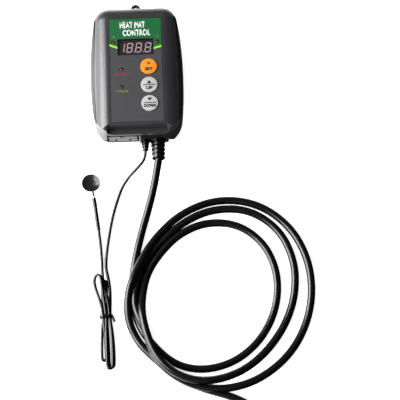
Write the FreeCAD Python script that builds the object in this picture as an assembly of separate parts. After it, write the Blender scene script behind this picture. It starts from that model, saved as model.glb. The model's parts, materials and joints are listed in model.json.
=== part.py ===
import FreeCAD, Part
import math
import os

# Plug-in temperature controller: a two-shell housing with a display, three keys and a
# grounded outlet, a grounded mains cord and a temperature probe on a thin cable.
# Millimetres. The controller lies on its back: +Z leaves its face, +Y points at the
# hanging tab, and the origin is at the bottom centre of the housing.

# Housing
BODY_BOTTOM = -70.5
BODY_TOP = 54.0
TAB_TIP = 70.5
TAB_R = 4.2
TAB_ROOT_HALF = 9.0
TAB_THICK = 3.2
TAB_HOLE_R = 2.1
FACE_Z = 42.0
SPLIT_Z = 28.5
SEAM = 0.5
FRONT_WALL = 2.2
REAR_WALL = 2.4
CROWN = 6.5
FRONT_HALVES = (36.2, 37.7, 35.6)
REAR_HALVES = (36.8, 42.2, 37.0)
BOTTOM_CORNER_R = 15.0
REAR_CORNER_R = 25.0
TOP_CORNER_R = 10.0
SHOULDER_X = 24.5
SHOULDER_R = 14.0
TOP_ROUND_Y = 39.0
END_ROUND_R = 8.0
REAR_FOOT_R = 5.0
REAR_HIP_Z = 18.0
LABEL_HALF_X = 18.0
LABEL_HALF_Y = 22.0
LABEL_RECESS = 0.4

# Step and ledge above the outlet
LEDGE_Z = 32.0
LEDGE_HALF = 28.0
STEP_TOP_Y = -64.2
STEP_FOOT_Y = -65.2
LEDGE_CORNER_R = 3.0

# Face
PANEL_HALF = 23.8
PANEL_BOTTOM = -62.5
PANEL_TOP = 38.5
PANEL_CORNER_R = 1.5
RECESS = 0.6
OVERLAY_THICK = 0.4
OVERLAY_GAP = 0.35
WINDOW_Y = 10.25
WINDOW_HALF_X = 16.2
WINDOW_HALF_Y = 7.9
KEY_X = 11.2
KEY_YS = {"set": -9.6, "up": -27.4, "down": -45.2}
KEY_R = 7.4
KEY_GAP = 0.4
KEY_TOP = 43.3
KEY_TRAVEL = 0.5
KEY_CROWN_R = 60.0
KEY_FOOT_Z = 38.4
KEY_FLANGE_Z = 39.5
KEY_FLANGE = 1.2
KEY_WALL = 1.6
KEY_CEILING_Z = 41.6
KEY_STEM_R = 2.2
LENS_ZS = (40.4, 41.7)
DISPLAY_TOP = 39.6
DIGIT_XS = (-12.6, -5.3, 2.7, 11.2)
DIGIT_TALL = 8.6
DIGIT_WIDE = 4.6
DIGIT_STROKE = 0.95
DIGIT_GAP = 0.25
DIGIT_SLANT = 0.16
DIGIT_THICK = 0.25
POINT_PLACES = ((-1.0, -4.1), (6.9, -4.1))
POINT_R = 0.5
LED_PLACES = {
    "fahrenheit_led": (-19.9, 15.0),
    "celsius_led": (19.9, 15.0),
    "heating_led": (-13.1, -11.5),
    "power_led": (-13.1, -28.3),
}
LED_R = 1.5
LED_HOLE_R = 1.75
LED_RIM = 0.3
LED_RIM_ZS = (36.6, 37.4)
LED_FOOT_Z = 36.0
LED_DOME_Z = 40.4
LED_LEG_HALF = 0.25
LED_LEG_X = 0.8

# Boards
BOARD_THICK = 1.6
CONTROL_TOP = 32.4
CONTROL_HALF_X = 21.0
CONTROL_YS = (-57.0, 28.0)
POWER_TOP = 8.6
POWER_HALF_X = 25.5
POWER_YS = (-43.0, 30.0)
BLOCK_XS = (2.0, 24.0)
BLOCK_YS = (-36.0, -26.0)
WIRE_XS = {"hot": 6.0, "neutral": 13.0, "ground": 20.0}
WIRE_R = 1.1
SWITCH_SIDE = 6.0
SWITCH_TOP = 36.0
PLUNGER_R = 1.7
PLUNGER_TOP = 36.7
PLUNGER_FOOT_Z = 34.3
SWITCH_WELL_Z = 33.6
BOARD_CORNER_R = 2.0
BOARD_HOLE_R = 1.2
BOARD_SCREW_R = 1.0
BOARD_SCREW_HEAD_R = 1.9
BOARD_SCREW_HEAD = 1.4
BOARD_BOSS_R = 2.4
POWER_POST_R = 2.6
RELAY = (-24.5, -5.0, -30.0, -14.0, 15.5)
CORE = (3.0, 25.0, -8.0, 22.0, 18.0)
WINDING = (5.5, 22.5, -3.0, 17.0)
WINDING_ZS = (1.0, 17.0)
CORE_WINDOW_ZS = (4.0, 14.0)
CAPACITORS = ((-19.0, 16.0, 16.0, 5.0), (-7.0, 18.0, 11.0, 4.0))
FUSE_START = (-22.0, -8.0)
FUSE_LONG = 20.0
FUSE_R = 2.6
BLOCK_HIGH = 9.0
WELL_R = 2.0
WELL_DEEP = 4.0
CHIP = (-9.0, -1.0, -38.0, -25.0, 2.2)
SOCKET = (-14.0, -6.0, -49.5, -44.0, 5.5)
HEADER = (-12.0, 2.0, 24.5, 27.0)
HEADER_HIGH = 2.5
HEADER_PINS = (-10.5, -7.5, -4.5, -1.5, 0.7)
PIN_HALF = 0.35
BOARD_POSTS = ((-17.5, 24.0), (17.5, 24.0), (-17.5, -54.5), (18.5, -54.8))
POWER_POSTS = ((-22.5, 26.0), (22.5, 26.0), (-22.5, -39.0), (22.5, -39.0))

# Housing screws
SCREW_PLACES = ((-31.0, -40.0), (31.0, -40.0), (-29.5, 36.0), (29.5, 36.0))
BOSS_R = 3.8
SCREW_R = 1.45
SCREW_HEAD_R = 2.8
SCREW_HEAD_Z = 14.0
SCREW_TIP_Z = 34.0
SCREW_HEAD_HIGH = 2.0
SCREW_SLOT_HALF = (1.6, 0.4)
SCREW_SLOT_DEEP = 1.1

# Outlet, NEMA 5-15
OUTLET_X = -14.15
OUTLET_FRAME_HALF = 14.15
OUTLET_RIM = 1.3
OUTLET_FOOT_Y = -66.0
END_FOOT_Y = -64.2
GLAND_BLOCK = (0.3, 27.0, -70.5, -60.0, 8.0, 27.4)
GLAND_WALL = 1.2
GLAND_BLOCK_R = 2.0
OUTLET_FRAME_ZS = (3.0, 27.4)
OUTLET_DEPTH = 20.4
CONTACT_DEPTH = 7.0
CONTACT_LONG = 11.5
OUTLET_FACE_Y = BODY_BOTTOM + 0.4
BLADE_PITCH = 12.7
GROUND_TO_BLADES = 11.9
GROUND_Z = 22.2
GROUND_HOLE_R = 2.6
SLOT_WIDE = 2.0
SLOT_HALF_HIGH = (3.5, 4.1)
CONTACT_ROOM = (2.6, 4.6)
CONTACT_LEAF = (1.45, 0.35, 3.6)
BACK_WALL = 1.5
GROUND_ROOM_R = 3.4
GROUND_SLEEVE_R = 3.25
GROUND_SLEEVE_LONG = 8.5
GROUND_SLIT = 0.4

# Cable exits
POWER_EXIT = (17.2, 16.0)
SENSOR_EXIT = (5.8, 16.0)
RELIEF_TIP_Y = -88.8
SENSOR_RELIEF_TIP_Y = -80.5

# Mains cord, 7 mm jacket
CORD_R = 3.5
LEAD_ROUTE = [
    (17.2, -88.8, 16.0),
    (14.6, -103.0, 14.2),
    (10.6, -119.0, 8.6),
    (5.2, -136.0, 4.4),
    (0.2, -152.0, 3.5),
    (-4.0, -168.0, 3.5),
    (-7.5, -184.0, 3.5),
]
COIL_INNER = (59.4, -213.0, 67.9, 57.0)
COIL_OUTER = (69.1, -211.5, 88.5, 79.5)
COIL_TILT = 66.0
COIL_SPARE = 1.0
COIL_LAYERS = (7.2, 15.0, 19.5)
COIL_LEFT = (-40.0, 24.0, -285.0, -150.0)
COIL_CROSSING = (-6.0, 62.0, -320.0, -240.0)
TAIL_ROUTE = [
    (58.0, -300.0, 3.5),
    (72.0, -304.5, 3.5),
    (88.0, -312.5, 3.5),
    (104.0, -323.5, 3.5),
    (120.0, -334.5, 4.6),
    (137.0, -342.0, 8.0),
    (153.0, -345.0, 11.5),
]

# Plug, NEMA 5-15
PLUG_Y = -345.0
PLUG_AXIS_Z = 11.5
PLUG_BACK_X = 153.0
PLUG_BODY_X = 173.0
PLUG_FACE_X = 200.0
PLUG_HALF_Y = 13.2
PLUG_HEIGHT = 24.5
BLADE_Z = 6.6
BLADE_LONG = 17.9
BLADE_WIDE = 6.35
BLADE_THICK = 1.5
PIN_R = 2.38
PIN_LONG = 21.4

# Probe cable, 2.8 mm jacket
CABLE_R = 1.4
SENSOR_ROUTE = [
    (5.8, -80.5, 16.0),
    (5.3, -87.6, 15.5),
    (-0.4, -94.0, 13.0),
    (-8.6, -100.4, 8.2),
    (-16.2, -109.0, 3.2),
    (-21.2, -121.5, 1.4),
    (-25.6, -136.0, 1.4),
    (-28.9, -152.0, 1.4),
    (-31.6, -168.5, 1.4),
    (-33.0, -184.0, 1.4),
]
HANK_TOP = -190.0
HANK_BOTTOM = -277.0
TIE_Y = -230.0
SENSOR_TAIL_ROUTE = [
    (-36.0, -190.0, 3.2),
    (-36.2, -178.0, 1.6),
    (-37.2, -162.5, 1.4),
    (-38.6, -149.0, 2.1),
    (-39.9, -138.5, 3.2),
    (-40.8, -129.3, 4.0),
]
PROBE_START = (-40.8, -129.3, 4.0)
PROBE_END = (-44.6, -104.0, 4.0)
SLEEVE_R = 1.9
SLEEVE_LONG = 9.3
CAPSULE_R = 1.6
CUP_AT = 22.0
CUP_R = 8.3
CUP_BALL_R = 3.9
CUP_BORE_GAP = 0.05


def vec(x, y, z):
    return FreeCAD.Vector(x, y, z)


def box(x0, x1, y0, y1, z0, z1):
    return Part.makeBox(x1 - x0, y1 - y0, z1 - z0, vec(x0, y0, z0))


def post(x, y, z0, z1, r):
    return Part.makeCylinder(r, z1 - z0, vec(x, y, z0))


def rod(start, direction, length, r):
    return Part.makeCylinder(r, length, vec(*start), vec(*direction))


def fuse(shapes):
    shapes = list(shapes)
    return shapes[0].multiFuse(shapes[1:]).removeSplitter() if len(shapes) > 1 else shapes[0]


def cut(shape, tools):
    for tool in tools:
        shape = shape.cut(tool)
    return shape


def upright_edges(shape):
    for edge in shape.Edges:
        ends = [v.Point for v in edge.Vertexes]
        if len(ends) == 2 and (ends[0] - ends[1]).cross(vec(0, 0, 1)).Length < 1e-6:
            yield edge


def round_box(x0, x1, y0, y1, z0, z1, r):
    solid = box(x0, x1, y0, y1, z0, z1)
    return solid.makeFillet(r, list(upright_edges(solid)))


def line(a, b):
    return Part.LineSegment(vec(*a), vec(*b)).toShape()


def arc(a, b, c):
    return Part.Arc(vec(*a), vec(*b), vec(*c)).toShape()


def prism(edges, direction):
    return Part.Face(Part.Wire(edges)).extrude(vec(*direction))


def stadium(a, b, r, z0, z1):
    """A straight slab with round ends, from a to b on the plan."""
    ends = [post(x, y, z0, z1, r) for x, y in (a, b)]
    along = vec(b[0] - a[0], b[1] - a[1], 0)
    side = vec(-along.y, along.x, 0).normalize() * r
    corners = [vec(*a, z0) + side, vec(*a, z0) - side, vec(*b, z0) - side, vec(*b, z0) + side]
    slab = Part.Face(Part.makePolygon(corners + corners[:1])).extrude(vec(0, 0, z1 - z0))
    return fuse([slab, *ends])


def tube_path(points, name):
    """Straight runs joined by arcs that are as large as the runs allow."""
    points = [vec(*p) for p in points]
    edges, start, radii = [], points[0], []
    for before, here, after in zip(points, points[1:], points[2:]):
        back, on = before - here, after - here
        half = (math.pi - back.getAngle(on)) / 2
        reach = 0.45 * min(back.Length, on.Length)
        radius = reach / math.tan(half)
        back.normalize()
        on.normalize()
        middle = (back + on).normalize() * (radius / math.cos(half) - radius)
        edges.append(Part.LineSegment(start, here + back * reach).toShape())
        edges.append(Part.Arc(here + back * reach, here + middle, here + on * reach).toShape())
        start = here + on * reach
        radii.append(radius)
    edges.append(Part.LineSegment(start, points[-1]).toShape())
    wire = Part.Wire(edges)
    print(name, "radii", [round(r, 1) for r in radii], "length", round(wire.Length, 1))
    return wire


def tube(points, r, name):
    wire = tube_path(points, name)
    heading = vec(*points[1]) - vec(*points[0])
    profile = Part.Wire(Part.Circle(vec(*points[0]), heading, r).toShape())
    solid = wire.makePipeShell([profile], True, False)
    section = math.pi * r * r * wire.Length
    print(name, "volume over section times length", round(solid.Volume / section, 4))
    return solid


def revolved(profile, base, axis):
    """A solid of revolution from (distance along the axis, radius) pairs."""
    points = [vec(r, 0, along) for along, r in profile]
    face = Part.Face(Part.makePolygon(points + points[:1]))
    solid = face.revolve(vec(0, 0, 0), vec(0, 0, 1), 360)
    turn = FreeCAD.Rotation(vec(0, 0, 1), vec(*axis))
    solid.Placement = FreeCAD.Placement(vec(*base), turn)
    return solid


# Housing


def plan_prism(halves, corner_r, inset, z0, z1):
    """The housing's outline, a rounded block with bowed sides and a crowned top."""
    low, middle, high = (half - inset for half in halves)
    bottom, top = BODY_BOTTOM + inset, BODY_TOP - inset
    corner = top - CROWN
    waist = (bottom + corner) / 2
    edges = [
        line((-low, bottom, z0), (low, bottom, z0)),
        arc((low, bottom, z0), (middle, waist, z0), (high, corner, z0)),
        arc((high, corner, z0), (0, top, z0), (-high, corner, z0)),
        arc((-high, corner, z0), (-middle, waist, z0), (-low, bottom, z0)),
    ]
    solid = prism(edges, (0, 0, z1 - z0))
    uprights = list(upright_edges(solid))
    at_bottom = [e for e in uprights if e.Vertexes[0].Point.y < 0]
    at_top = [e for e in uprights if e.Vertexes[0].Point.y > 0]
    solid = solid.makeFillet(corner_r - inset, at_bottom)
    at_top = [e for e in upright_edges(solid) if e.Vertexes[0].Point.y > corner - 0.01]
    return solid.makeFillet(TOP_CORNER_R - inset, at_top)


def ledge_cut(inset):
    """What the step above the outlet takes away from the front form."""
    foot, top, ledge = STEP_FOOT_Y + inset, STEP_TOP_Y + inset, LEDGE_Z - inset
    past, over = BODY_BOTTOM - 5, FACE_Z + 2
    slope = (top - foot) / (FACE_Z - LEDGE_Z)
    half = LEDGE_HALF + inset
    corners = [
        (-half, foot, ledge),
        (-half, foot + slope * (over - ledge), over),
        (-half, past, over),
        (-half, past, ledge),
    ]
    edges = [line(a, b) for a, b in zip(corners, corners[1:] + corners[:1])]
    solid = prism(edges, (2 * half, 0, 0))
    inner = [
        e
        for e in solid.Edges
        if abs(e.Vertexes[0].Point.x - e.Vertexes[1].Point.x) < 1e-6
        and min(v.Point.y for v in e.Vertexes) > BODY_BOTTOM
    ]
    return solid.makeFillet(LEDGE_CORNER_R, inner)


def shoulders(inset, z0):
    """A long block whose upper edges and far corners are rolled off in one radius."""
    r = SHOULDER_R - inset
    far, end = SHOULDER_X + r, TOP_ROUND_Y + r
    block = box(-far, far, BODY_BOTTOM - 20, end, z0, FACE_Z - inset)
    rolled = []
    for edge in block.Edges:
        middle = edge.CenterOfMass
        at_side = abs(abs(middle.x) - far) < 1e-6
        at_top, at_end = middle.z > FACE_Z - inset - 1e-6, middle.y > end - 1e-6
        if (at_side and (at_top or at_end)) or (at_top and at_end):
            rolled.append(edge)
    return block.makeFillet(r, rolled)


def end_profile(inset, z0):
    """Side view of the front shell's bottom end, extruded across the housing."""
    top = FACE_Z - inset
    r = END_ROUND_R - inset
    start = BODY_BOTTOM + END_ROUND_R
    foot, end = start - r, BODY_TOP + 10
    middle = r * math.sqrt(0.5)
    edges = [
        line((-60, foot, z0), (-60, end, z0)),
        line((-60, end, z0), (-60, end, top)),
        line((-60, end, top), (-60, start, top)),
        arc((-60, start, top), (-60, start - middle, top - r + middle), (-60, foot, top - r)),
        line((-60, foot, top - r), (-60, foot, z0)),
    ]
    return prism(edges, (120, 0, 0))


def front_form(inset, z0):
    """The front shell's outer shape, or with an inset the space inside it."""
    under = z0 - 4
    form = plan_prism(FRONT_HALVES, BOTTOM_CORNER_R, inset, z0, FACE_Z + 1)
    form = form.common(shoulders(inset, under)).common(end_profile(inset, under))
    return form.cut(ledge_cut(inset))


def front_shell():
    body = fuse([front_form(0, SPLIT_Z + SEAM), front_form(SEAM, SPLIT_Z).common(
        box(-60, 60, -90, 90, SPLIT_Z, SPLIT_Z + SEAM))])
    shell = body.cut(front_form(FRONT_WALL, SPLIT_Z - 1))
    under = FACE_Z - FRONT_WALL
    added = [post(x, y, SPLIT_Z, under + 0.5, BOSS_R) for x, y in SCREW_PLACES]
    added += [post(x, y, CONTROL_TOP, under + 0.5, BOARD_BOSS_R) for x, y in BOARD_POSTS]
    shell = fuse([shell, *(a.common(front_form(0.8, SPLIT_Z)) for a in added)])
    floor = FACE_Z - RECESS
    tools = [
        round_box(-PANEL_HALF, PANEL_HALF, PANEL_BOTTOM, PANEL_TOP, floor, 50, PANEL_CORNER_R),
        box(-WINDOW_HALF_X, WINDOW_HALF_X, WINDOW_Y - WINDOW_HALF_Y, WINDOW_Y + WINDOW_HALF_Y, 30, 50),
    ]
    tools += [post(KEY_X, y, 30, 50, KEY_R + KEY_GAP) for y in KEY_YS.values()]
    tools += [post(x, y, 30, 50, LED_HOLE_R) for x, y in LED_PLACES.values()]
    tools += [post(x, y, 20, SCREW_TIP_Z + 1, SCREW_R) for x, y in SCREW_PLACES]
    tools += [post(x, y, CONTROL_TOP - 1, CONTROL_TOP + 5, BOARD_SCREW_R) for x, y in BOARD_POSTS]
    return cut(shell, tools)


def leaning_end(foot_y, inset):
    """What lies outside the bottom end, which leans in from the split line to its foot."""
    lean = (foot_y - BODY_BOTTOM) / SPLIT_Z
    past, low, high = BODY_BOTTOM - 20, -5.0, SPLIT_Z
    corners = [
        (-60, past, low),
        (-60, BODY_BOTTOM + inset + lean * (SPLIT_Z - low), low),
        (-60, BODY_BOTTOM + inset, high),
        (-60, past, high),
    ]
    return prism([line(a, b) for a, b in zip(corners, corners[1:] + corners[:1])], (120, 0, 0))


def gland_block():
    """The block in the bottom end that both strain relief boots leave from."""
    block = box(*GLAND_BLOCK)
    rim = [e for e in block.Edges if e.CenterOfMass.y < BODY_BOTTOM + 1e-6]
    return block.makeFillet(GLAND_BLOCK_R, rim)


def gland_space():
    x0, x1, y0, y1, z0, z1 = GLAND_BLOCK
    wall = GLAND_WALL
    return box(x0 + wall, x1 - wall, y0 + REAR_WALL, y1, z0 + wall, z1 - wall)


def rear_form(inset, z0):
    """The rear shell's outer shape, or with an inset the space inside it."""
    wide = REAR_HALVES[1] + 0.3 - inset
    foot_r = REAR_FOOT_R - inset / 2
    low = wide - foot_r
    lip = FRONT_HALVES[1] + 0.2 - inset
    bulge = (wide - 1.2, (REAR_HIP_Z + SPLIT_Z) / 2 + 0.8)
    diagonal = math.sqrt(0.5)
    side = [
        line((-low, -90, inset), (low, -90, inset)),
        arc(
            (low, -90, inset),
            (low + foot_r * diagonal, -90, inset + foot_r * (1 - diagonal)),
            (wide, -90, inset + foot_r),
        ),
        line((wide, -90, inset + foot_r), (wide, -90, REAR_HIP_Z)),
        arc((wide, -90, REAR_HIP_Z), (bulge[0], -90, bulge[1]), (lip, -90, SPLIT_Z)),
        line((lip, -90, SPLIT_Z), (lip, -90, SPLIT_Z + 2)),
        line((lip, -90, SPLIT_Z + 2), (-lip, -90, SPLIT_Z + 2)),
        line((-lip, -90, SPLIT_Z + 2), (-lip, -90, SPLIT_Z)),
        arc((-lip, -90, SPLIT_Z), (-bulge[0], -90, bulge[1]), (-wide, -90, REAR_HIP_Z)),
        line((-wide, -90, REAR_HIP_Z), (-wide, -90, inset + foot_r)),
        arc(
            (-wide, -90, inset + foot_r),
            (-low - foot_r * diagonal, -90, inset + foot_r * (1 - diagonal)),
            (-low, -90, inset),
        ),
    ]
    form = plan_prism(REAR_HALVES, REAR_CORNER_R, inset, z0, SPLIT_Z + (1 if inset else 0))
    form = form.common(prism(side, (0, 180, 0)))
    return form.cut(leaning_end(END_FOOT_Y, inset))


def rating_label():
    """The plate in the shallow recess on the back."""
    edge = 0.3
    half_x, half_y = LABEL_HALF_X - edge, LABEL_HALF_Y - edge
    return round_box(-half_x, half_x, -half_y, half_y, 0.15, LABEL_RECESS, 1.8)


def hanging_tab():
    tip = TAB_TIP - TAB_R
    root = BODY_TOP - CROWN
    edges = [
        line((-TAB_ROOT_HALF, root, 0), (TAB_ROOT_HALF, root, 0)),
        line((TAB_ROOT_HALF, root, 0), (TAB_R, tip, 0)),
        arc((TAB_R, tip, 0), (0, TAB_TIP, 0), (-TAB_R, tip, 0)),
        line((-TAB_R, tip, 0), (-TAB_ROOT_HALF, root, 0)),
    ]
    tab = prism(edges, (0, 0, TAB_THICK)).cut(rear_form(0, 0))
    return tab.cut(post(0, tip, -1, TAB_THICK + 1, TAB_HOLE_R))


def outlet_frame(margin, y0, y1):
    z0, z1 = OUTLET_FRAME_ZS
    half = OUTLET_FRAME_HALF - margin
    return box(OUTLET_X - half, OUTLET_X + half, y0, y1, z0 + margin, z1 - margin)


def rear_shell():
    frame = outlet_frame(0, BODY_BOTTOM, BODY_BOTTOM + 10).cut(leaning_end(OUTLET_FOOT_Y, 0))
    outer = fuse([rear_form(0, 0), frame, gland_block()])
    shell = outer.cut(fuse([rear_form(REAR_WALL, REAR_WALL), gland_space()]))
    added = [post(x, y, 0, SPLIT_Z, BOSS_R + 0.6) for x, y in SCREW_PLACES]
    added += [post(x, y, 1, POWER_TOP - BOARD_THICK, POWER_POST_R) for x, y in POWER_POSTS]
    added = [a.common(rear_form(0.5, 0)) for a in added]
    shell = fuse([shell, *added])
    tools = [outlet_frame(OUTLET_RIM, BODY_BOTTOM - 5, BODY_BOTTOM + 10)]
    for x, y in SCREW_PLACES:
        tools.append(post(x, y, -1, SCREW_HEAD_Z + SCREW_HEAD_HIGH, SCREW_HEAD_R + 0.3))
        tools.append(post(x, y, 0, SPLIT_Z + 1, SCREW_R + 0.15))
    tools += [post(x, y, 3, POWER_TOP, BOARD_SCREW_R) for x, y in POWER_POSTS]
    for (x, z), r in ((POWER_EXIT, 4.6), (SENSOR_EXIT, 2.6)):
        tools.append(rod((x, BODY_BOTTOM - 5, z), (0, 1, 0), 12, r))
    tools.append(round_box(-LABEL_HALF_X, LABEL_HALF_X, -LABEL_HALF_Y, LABEL_HALF_Y, -1, LABEL_RECESS, 2.0))
    return cut(shell, tools)


def housing_screws():
    long, short = SCREW_SLOT_HALF
    shoulder = SCREW_HEAD_Z + SCREW_HEAD_HIGH
    low, high = SCREW_HEAD_Z - 1, SCREW_HEAD_Z + SCREW_SLOT_DEEP
    solids = []
    for x, y in SCREW_PLACES:
        head = post(x, y, SCREW_HEAD_Z, shoulder, SCREW_HEAD_R)
        slots = [
            box(x - half_x, x + half_x, y - half_y, y + half_y, low, high)
            for half_x, half_y in ((long, short), (short, long))
        ]
        shank = post(x, y, shoulder, SCREW_TIP_Z, SCREW_R)
        solids.append(cut(fuse([head, shank]), slots))
    return Part.makeCompound(solids)


# Face


def face_overlay():
    edge = OVERLAY_GAP
    floor = FACE_Z - RECESS
    sheet = round_box(
        -PANEL_HALF + edge, PANEL_HALF - edge, PANEL_BOTTOM + edge, PANEL_TOP - edge,
        floor, floor + OVERLAY_THICK, PANEL_CORNER_R - edge,
    )
    margin = 0.05
    tools = [
        box(
            -WINDOW_HALF_X - margin, WINDOW_HALF_X + margin,
            WINDOW_Y - WINDOW_HALF_Y - margin, WINDOW_Y + WINDOW_HALF_Y + margin, 40, 44,
        )
    ]
    tools += [post(KEY_X, y, 40, 44, KEY_R + KEY_GAP) for y in KEY_YS.values()]
    tools += [post(x, y, 40, 44, LED_HOLE_R) for x, y in LED_PLACES.values()]
    return cut(sheet, tools)


def display_window():
    gap = 0.1
    return round_box(
        -WINDOW_HALF_X + gap, WINDOW_HALF_X - gap,
        WINDOW_Y - WINDOW_HALF_Y + gap, WINDOW_Y + WINDOW_HALF_Y - gap,
        *LENS_ZS, 0.3,
    )


def bar(x, y, long, wide, lying):
    """One lit bar of a digit, a six-sided prism with pointed ends."""
    half, side = long / 2, wide / 2
    outline = [
        (-half, 0), (-half + side, side), (half - side, side),
        (half, 0), (half - side, -side), (-half + side, -side),
    ]
    if not lying:
        outline = [(v, u) for u, v in outline]
    points = [
        vec(x + u + DIGIT_SLANT * (y + v), WINDOW_Y + y + v, DISPLAY_TOP) for u, v in outline
    ]
    return Part.Face(Part.makePolygon(points + points[:1])).extrude(vec(0, 0, DIGIT_THICK))


def digit(x, uprights_only):
    """The bars of one digit; the leading digit has only its right-hand uprights."""
    half_y, half_x = DIGIT_TALL / 2, DIGIT_WIDE / 2
    bars = []
    for side in (half_x,) if uprights_only else (-half_x, half_x):
        for level in (-half_y / 2, half_y / 2):
            bars.append(bar(x + side, level, half_y - DIGIT_GAP, DIGIT_STROKE, False))
    if not uprights_only:
        for level in (-half_y, 0.0, half_y):
            bars.append(bar(x, level, DIGIT_WIDE - DIGIT_GAP, DIGIT_STROKE, True))
    return bars


def display_segments():
    bars = []
    for index, x in enumerate(DIGIT_XS):
        bars += digit(x, index == 0)
    top = DISPLAY_TOP + DIGIT_THICK
    dots = [post(x, WINDOW_Y + y, DISPLAY_TOP, top, POINT_R) for x, y in POINT_PLACES]
    return Part.makeCompound(bars + dots)


def display_module():
    return round_box(
        -WINDOW_HALF_X + 0.8, WINDOW_HALF_X - 0.8,
        WINDOW_Y - WINDOW_HALF_Y + 0.6, WINDOW_Y + WINDOW_HALF_Y - 0.6,
        CONTROL_TOP, DISPLAY_TOP, 0.5,
    )


def led(x, y):
    half = LED_LEG_HALF
    parts = [
        post(x, y, *LED_RIM_ZS, LED_R + LED_RIM),
        post(x, y, LED_FOOT_Z, LED_DOME_Z, LED_R),
        Part.makeSphere(LED_R, vec(x, y, LED_DOME_Z)),
    ]
    for leg in (x - LED_LEG_X, x + LED_LEG_X):
        parts.append(box(leg - half, leg + half, y - half, y + half, CONTROL_TOP, LED_FOOT_Z + 0.2))
    return fuse(parts)


def key_cap(y):
    """A key with a lightly crowned top, a retaining flange and a stem."""
    cap = post(KEY_X, y, KEY_FOOT_Z, KEY_TOP, KEY_R)
    cap = cap.common(Part.makeSphere(KEY_CROWN_R, vec(KEY_X, y, KEY_TOP - KEY_CROWN_R)))
    flange = post(KEY_X, y, KEY_FOOT_Z, KEY_FLANGE_Z, KEY_R + KEY_FLANGE)
    hollow = post(KEY_X, y, KEY_FOOT_Z - 1, KEY_CEILING_Z, KEY_R - KEY_WALL)
    stem = post(KEY_X, y, PLUNGER_TOP, KEY_CEILING_Z + 0.4, KEY_STEM_R)
    return fuse([fuse([cap, flange]).cut(hollow), stem])


def plunger(y):
    return post(KEY_X, y, PLUNGER_FOOT_Z, PLUNGER_TOP, PLUNGER_R)


def key_switch(y):
    half = SWITCH_SIDE / 2
    body = round_box(KEY_X - half, KEY_X + half, y - half, y + half, CONTROL_TOP, SWITCH_TOP, 0.6)
    return body.cut(post(KEY_X, y, SWITCH_WELL_Z, SWITCH_TOP + 1, PLUNGER_R + 0.08))


# Boards and what stands on them


def drilled_board(half_x, ys, top, places):
    bottom = top - BOARD_THICK
    board = round_box(-half_x, half_x, *ys, bottom, top, BOARD_CORNER_R)
    return cut(board, [post(x, y, bottom - 1, top + 1, BOARD_HOLE_R) for x, y in places])


def control_board():
    return drilled_board(CONTROL_HALF_X, CONTROL_YS, CONTROL_TOP, BOARD_POSTS)


def power_board():
    return drilled_board(POWER_HALF_X, POWER_YS, POWER_TOP, POWER_POSTS)


def board_screws():
    """Screws up into the front shell's bosses and down into the rear shell's posts."""
    solids = []
    under = CONTROL_TOP - BOARD_THICK
    for x, y in BOARD_POSTS:
        head = post(x, y, under - BOARD_SCREW_HEAD, under, BOARD_SCREW_HEAD_R)
        solids.append(fuse([head, post(x, y, under, under + 5.2, BOARD_SCREW_R)]))
    for x, y in POWER_POSTS:
        head = post(x, y, POWER_TOP, POWER_TOP + BOARD_SCREW_HEAD, BOARD_SCREW_HEAD_R)
        solids.append(fuse([head, post(x, y, 3.2, POWER_TOP, BOARD_SCREW_R)]))
    return Part.makeCompound(solids)


def relay():
    *sides, high = RELAY
    return round_box(*sides, POWER_TOP, POWER_TOP + high, 0.8)


def transformer():
    """A laminated core round a winding."""
    x0, x1, y0, y1, high = CORE
    core = box(x0, x1, y0, y1, POWER_TOP, POWER_TOP + high)
    winding = round_box(*WINDING, *(POWER_TOP + z for z in WINDING_ZS), 2.0)
    window = box(x0 - 1, x1 + 1, *WINDING[2:], *(POWER_TOP + z for z in CORE_WINDOW_ZS))
    return fuse([core.cut(window), winding])


def capacitors():
    cans = [post(x, y, POWER_TOP, POWER_TOP + high, r) for x, y, high, r in CAPACITORS]
    return Part.makeCompound(cans)


def fuse_link():
    return rod((*FUSE_START, POWER_TOP + FUSE_R), (1, 0, 0), FUSE_LONG, FUSE_R)


def terminal_block():
    top = POWER_TOP + BLOCK_HIGH
    block = round_box(*BLOCK_XS, *BLOCK_YS, POWER_TOP, top, 0.6)
    middle = sum(BLOCK_YS) / 2
    return cut(block, [post(x, middle, top - WELL_DEEP, top + 1, WELL_R) for x in WIRE_XS.values()])


def under_board(spec):
    """A block under the control board, given by its sides and height."""
    *sides, high = spec
    bottom = CONTROL_TOP - BOARD_THICK
    return round_box(*sides, bottom - high, bottom, 0.4)


def board_link():
    """The pin header that joins the two boards."""
    top = CONTROL_TOP - BOARD_THICK
    parts = [box(*HEADER, POWER_TOP, POWER_TOP + HEADER_HIGH), box(*HEADER, top - HEADER_HIGH, top)]
    middle = sum(HEADER[2:]) / 2
    for x in HEADER_PINS:
        sides = (x - PIN_HALF, x + PIN_HALF, middle - PIN_HALF, middle + PIN_HALF)
        parts.append(box(*sides, POWER_TOP, top))
    return fuse(parts)


def mains_wire(name):
    """One core of the cord, from the strain relief to the terminal block."""
    x, z = POWER_EXIT
    offset = 0.34 * (WIRE_XS[name] - WIRE_XS["neutral"])
    end_x, end_z = WIRE_XS[name], POWER_TOP + 4.0
    route = [
        (x + offset, BODY_BOTTOM + 5.2, z),
        (x + offset, BODY_BOTTOM + 12.0, z - 0.3),
        ((x + end_x) / 2 + 0.4 * offset, BODY_BOTTOM + 20.0, z - 1.6),
        (end_x, BODY_BOTTOM + 28.0, end_z + 0.4),
        (end_x, BLOCK_YS[0] - 0.1, end_z),
    ]
    return tube(route, WIRE_R, name + "_wire")


# Outlet


def blade_slots():
    """Centre and half height of the two blade slots, hot and neutral."""
    z = GROUND_Z - GROUND_TO_BLADES
    half = BLADE_PITCH / 2
    return [(OUTLET_X + s * half, z, high) for s, high in zip((-1, 1), SLOT_HALF_HIGH)]


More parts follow.
